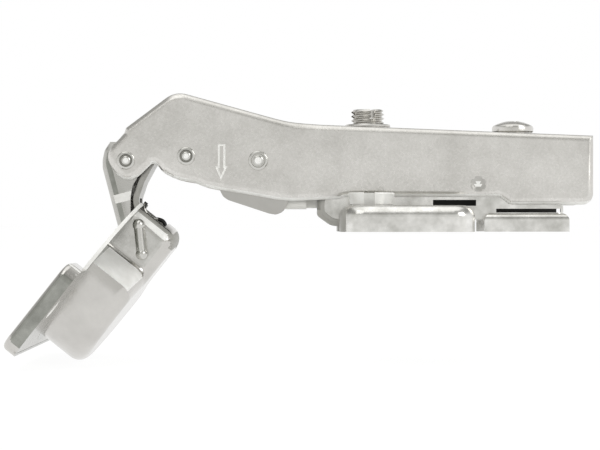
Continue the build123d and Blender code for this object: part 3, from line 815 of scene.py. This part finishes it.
@dataclass
class Cup(SubAssembly):
    """Pressed cup with its U-shaped pin and closing spring.

    Attributes:
        origin: centre of the cup at its flange, in millimetres.
        lean: how far the cup leans back, in degrees.
        pocket: half the width between the pockets.
        tray_half: half the length of the tray.
        flange_r: radius at which the round flange's edge begins.
        notch_x: place across the cup where its notched end begins.
        ear_hole: place of a screw hole across the cup and along the pins.
        sleeve_r: bore and outside of the sleeve round it.
    """

    origin: Point = (-58.11, 0.0, -8.13)
    lean: float = 51.6
    pocket: float = 7.8
    tray_half: float = 29.0
    flange_r: float = 18.3
    notch_x: float = 12.0
    ear_hole: Step = (-9.5, 22.5)
    sleeve_r: Step = (2.25, 2.7)

    def build(self) -> None:
        """Dress the cup, its pin and the spring."""
        self.shell()
        self.backing()
        self.keep("cup_pin", Finishes.PIN)
        self.spring()

    def inward(self, way: Vector) -> Vector:
        """Turn a direction of the frame to the cup's own: across it, along the pins and up its axis.

        Args:
            way: the direction.

        Returns:
            The same in the cup's own frame.
        """
        across, up = math.cos(math.radians(self.lean)), math.sin(math.radians(self.lean))
        return Vector((way.x * across + way.z * up, way.y, way.z * across - way.x * up))

    def spot(self, at: Vector) -> Vector:
        """Give a point's place in the cup's own frame.

        Args:
            at: the point in millimetres.

        Returns:
            Its place across the cup, along the pins and up its axis.
        """
        return self.inward(at - Vector(self.origin))

    def ramp(self, at: Vector, way: Vector) -> bool:
        """Tell the steep outer faces of the pockets."""
        own, spot = self.inward(way), self.spot(at)
        return own.x > 0.75 and 0.2 < abs(own.y) < 0.6 and abs(spot.y) > self.pocket and 0 < spot.x < 9

    def corner(self, at: Vector, way: Vector) -> bool:
        """Tell the upright round corners at the cup's end."""
        own, spot = self.inward(way), self.spot(at)
        upright = abs(own.z) < 0.2 and 0.3 < own.x < 0.97
        return upright and spot.x > 13.0 and abs(spot.y) > 5.5 and spot.z < -0.6

    def pocket_wall(self, at: Vector, way: Vector) -> bool:
        """Tell the flat side walls that a punch pressed in."""
        return abs(way.y) > 0.98 and way.y * at.y > 0 and abs(abs(at.y) - self.pocket) < 0.3

    def notch(self, at: Vector, way: Vector) -> bool:
        """Tell the notch in the cup's end, but not the end face itself."""
        return self.spot(at).x > self.notch_x and abs(at.y) < self.pocket - 1.0 and self.inward(way).x < 0.9

    def rim(self, at: Vector, way: Vector) -> bool:
        """Tell the outer edge of the round flange."""
        spot = self.spot(at)
        outside = math.hypot(spot.x, spot.y) > self.flange_r and spot.x > -2
        return outside and 0 < spot.z < 0.8 and abs(self.inward(way).z) < 0.75

    def underside(self, at: Vector, way: Vector) -> bool:
        """Tell the flange's underside."""
        return self.inward(way).z < -0.9 and abs(self.spot(at).z) < 0.05

    def tray_side(self, at: Vector, way: Vector) -> bool:
        """Tell the outer sides of the tray, below its rounded edge."""
        return abs(at.y) > self.tray_half - 0.2 and abs(way.y) > 0.7

    def sleeve_bore(self, at: Vector, way: Vector) -> bool:
        """Tell the bores of the two sleeves round the screw holes."""
        spot = self.spot(at)
        return math.hypot(spot.x - self.ear_hole[0], abs(spot.y) - self.ear_hole[1]) < 2.45

    def shell(self) -> None:
        """Finish the drawn cup: painted highlight on the ramps of its pockets, its end corners and its rim; painted
        shade on its corner bands, pocket walls, notch, flange underside and the sides of its tray.
        """
        shell = refined("cup", "cup_drawn", 0.1)
        self.fit(shell, "cup", "nickel_cup", Finishes.DRAWN, ["cup"])
        self.touch(shell, Finishes.PAINTED_HIGHLIGHT, lambda at, way: (
            self.ramp(at, way) or (self.corner(at, way) and self.inward(way).x < 0.8)
        ))
        self.touch(shell, Finishes.PAINTED_SHADE, lambda at, way: (
            self.corner(at, way) and 0.8 <= self.inward(way).x < 0.95
        ))
        self.touch(shell, Finishes.POCKET_SHADE, self.pocket_wall)
        self.touch(shell, Finishes.NOTCH, self.notch)
        self.touch(shell, Finishes.PAINTED_HIGHLIGHT, self.rim)
        self.touch(shell, Finishes.PAINTED_SHADE, self.underside)
        self.touch(shell, Finishes.PAINTED_SHADE, self.tray_side)

    def backing(self) -> None:
        """Close the hollow of the tray with its folded-in back, on the side towards the door."""
        back = bar("tray_back", (19.9, 56.3, 0.4), (-10.4, 0, 0.25))
        shape_with(back, turned("round", [(18.85, -1.0), (18.85, 1.5)], 96), "DIFFERENCE")
        across, along = self.ear_hole
        bore_r, sleeve_r = self.sleeve_r
        for side in (-along, along):
            hole = turned("hole", [(2.3, -1.0), (2.3, 1.5)], 32)
            place_mm(hole, (across, side, 0))
            shape_with(back, hole, "DIFFERENCE")
            sleeve = turned("sleeve", [(sleeve_r, 0.1), (sleeve_r, 2.6)], 32)
            shape_with(sleeve, turned("bore", [(bore_r, -1.0), (bore_r, 3.0)], 32), "DIFFERENCE")
            place_mm(sleeve, (across, side, 0))
            shape_with(back, sleeve, "UNION")
        place(back, self.origin, (0, -self.lean, 0))
        smooth(back)
        self.fit(back, "cup", "nickel_cup", Finishes.LINK)
        # Painted highlight in the sleeve bores, which would be in shade
        self.touch(back, Finishes.PAINTED_HIGHLIGHT, self.sleeve_bore)

    def spring(self) -> None:
        """Finish the closing spring: black oiled wire, with a painted highlight in bright pin steel at its hook end.
        """
        wire = refined("closing_spring", "spring_wire", 0.0)
        self.fit(wire, "cup", "spring_wire", Finishes.SPRING, ["closing_spring"])
        # Painted highlight: the hook end in bright pin steel
        self.touch(wire, Finishes.PIN, lambda at, way: at.x < -47.3 or (at.x < -44.8 and at.z < 5.0))


@dataclass
class Studio:
    """Camera, floor, lamps and surroundings.

    Attributes:
        aim_x: place along X that the camera looks square at, in millimetres.
        aim_z: height of the camera.
        distance: distance of the camera from the middle plane.
        lens: focal length for a 36 mm wide sensor.
        floor_gap: room between the hinge's lowest point and the floor, in metres.
        floor_glow: strength of the floor's white where it is seen or mirrored.
        floor_share: how much of that white there is, the rest being paint that takes the shadow.
    """

    aim_x: float = -14.56
    aim_z: float = 1.39
    distance: float = 400.0
    lens: float = 113.1
    floor_gap: float = 0.0005
    floor_glow: float = 1.06
    floor_share: float = 0.88

    def build(self) -> None:
        """Set up the whole studio."""
        self.camera()
        self.floor()
        self.lamp("key", (-0.25, -0.55, 0.75), 0.6, 1.3)
        self.lamp("fill", (0.6, -0.5, 0.4), 0.4, 1.7)
        self.lamp("top", (0.0, 0.1, 0.8), 0.9, 1.2)
        self.surroundings()

    def camera(self) -> None:
        """Put the camera where the photograph was taken from."""
        data = bpy.data.cameras.new("camera")
        data.lens = self.lens
        data.sensor_width = 36.0
        data.clip_start = 0.01
        data.clip_end = 100.0
        camera = bpy.data.objects.new("camera", data)
        bpy.context.scene.collection.objects.link(camera)
        camera.location = (self.aim_x * MM, -self.distance * MM, self.aim_z * MM)
        camera.rotation_euler = (math.radians(90), 0, 0)
        bpy.context.scene.camera = camera

    def seen_or_mirrored(self, tree: Any) -> Any:
        """Tell rays that show a surface, straight or in a reflection, from those that light others.

        Args:
            tree: the node tree to work in.

        Returns:
            Output that is 1 for camera, glossy and transmission rays.
        """
        rays = add_node(tree, "ShaderNodeLightPath").outputs
        first = add_node(tree, "ShaderNodeMath", {
            0: rays["Is Camera Ray"], 1: rays["Is Glossy Ray"]
        }, operation="MAXIMUM").outputs[0]
        return add_node(tree, "ShaderNodeMath", {
            0: first, 1: rays["Is Transmission Ray"]
        }, operation="MAXIMUM").outputs[0]

    def floor(self) -> None:
        """Lay a wide pale floor under the lowest point of the hinge."""
        deselect()
        bpy.ops.mesh.primitive_plane_add(size=40, location=(0, 0, cad_box[0].z - self.floor_gap))
        floor = bpy.context.active_object
        floor.name = "floor"
        made = bpy.data.materials.new("pale_floor")
        made.use_nodes = True
        tree = made.node_tree
        tree.nodes.clear()
        paint = add_node(tree, "ShaderNodeBsdfDiffuse", {"Color": linear("#F8F8F7")})
        glow = add_node(tree, "ShaderNodeEmission", {"Color": linear("#FFFFFF"), "Strength": self.floor_glow})
        seen = self.seen_or_mirrored(tree)
        share = add_node(tree, "ShaderNodeMath", {0: seen, 1: self.floor_share}, operation="MULTIPLY")
        both = add_node(tree, "ShaderNodeMixShader", {
            0: share.outputs[0], 1: paint.outputs[0], 2: glow.outputs[0]
        })
        add_node(tree, "ShaderNodeOutputMaterial", {"Surface": both.outputs[0]})
        dress(floor, made)

    def lamp(self, name: str, at: Point, size: float, power: float) -> None:
        """Hang one soft square lamp that points at the hinge.

        Args:
            name: name of the lamp.
            at: its place in metres.
            size: length of its side.
            power: its power in watts.
        """
        data = bpy.data.lights.new(name, "AREA")
        data.shape = "SQUARE"
        data.size = size
        data.energy = power
        lamp = bpy.data.objects.new(name, data)
        bpy.context.scene.collection.objects.link(lamp)
        lamp.location = at
        aim = Vector((self.aim_x * MM, 0, 0)) - Vector(at)
        lamp.rotation_euler = aim.to_track_quat("-Z", "Y").to_euler()

    def surroundings(self) -> None:
        """Light the hinge from a bright room, white behind it and greyer behind the camera and overhead."""
        world = bpy.data.worlds.new("studio")
        bpy.context.scene.world = world
        world.use_nodes = True
        tree = world.node_tree
        tree.nodes.clear()
        way = add_node(tree, "ShaderNodeTexCoord").outputs["Generated"]
        split = add_node(tree, "ShaderNodeSeparateXYZ", {0: way})
        height = add_node(tree, "ShaderNodeMapRange", {
            "Value": split.outputs["Z"], "From Min": -1.0, "From Max": 1.0
        }).outputs[0]
        tones = self.tones(tree, height, (
            (0.0, "#C8C8C6"), (0.49, "#F4F4F2"), (0.5, "#FFFFFF"), (0.66, "#FFFFFF"),
            (0.78, "#A6A6A4"), (0.9, "#B4B4B2"), (1.0, "#F4F4F2"),
        ))
        back = add_node(tree, "ShaderNodeMapRange", {
            "Value": split.outputs["Y"], "From Min": -1.0, "From Max": 0.0
        }).outputs[0]
        depth = self.tones(tree, back, ((0.0, "#E6E6E4"), (0.12, "#EAEAE8"), (0.5, "#F8F8F6"), (0.8, "#FFFFFF")))
        room = add_node(tree, "ShaderNodeMix", {
            "Factor": 1.0, "A": tones, "B": depth
        }, data_type="RGBA", blend_type="MULTIPLY").outputs[2]
        light = add_node(tree, "ShaderNodeBackground", {"Color": room, "Strength": 1.0})
        add_node(tree, "ShaderNodeOutputWorld", {"Surface": light.outputs[0]})

    def tones(self, tree: Any, factor: Any, stops: Sequence[tuple[float, str]]) -> Any:
        """Blend a few tones along a factor.

        Args:
            tree: the node tree to work in.
            factor: output that goes from 0 to 1.
            stops: place and colour of each tone.

        Returns:
            Colour output.
        """
        ramp = add_node(tree, "ShaderNodeValToRGB", {"Fac": factor})
        bands = ramp.color_ramp.elements
        while len(bands) < len(stops):
            bands.new(0.5)
        for band, (at, tone) in zip(bands, stops):
            band.position = at
            band.color = linear(tone)
        return ramp.outputs[0]


def main() -> None:
    """Build every sub-assembly in order, then the studio."""
    logging.basicConfig(level=logging.INFO, format="%(name)s: %(message)s")
    finishes = Finishes()
    for group in (Plate, Arm, Linkage, Cup):
        log.info("building %s", group.__name__)
        group(finishes).build()
    Studio().build()
    bpy.context.scene.view_settings.view_transform = "Standard"
    bpy.context.view_layer.update()


if __name__ == "__main__":
    main()
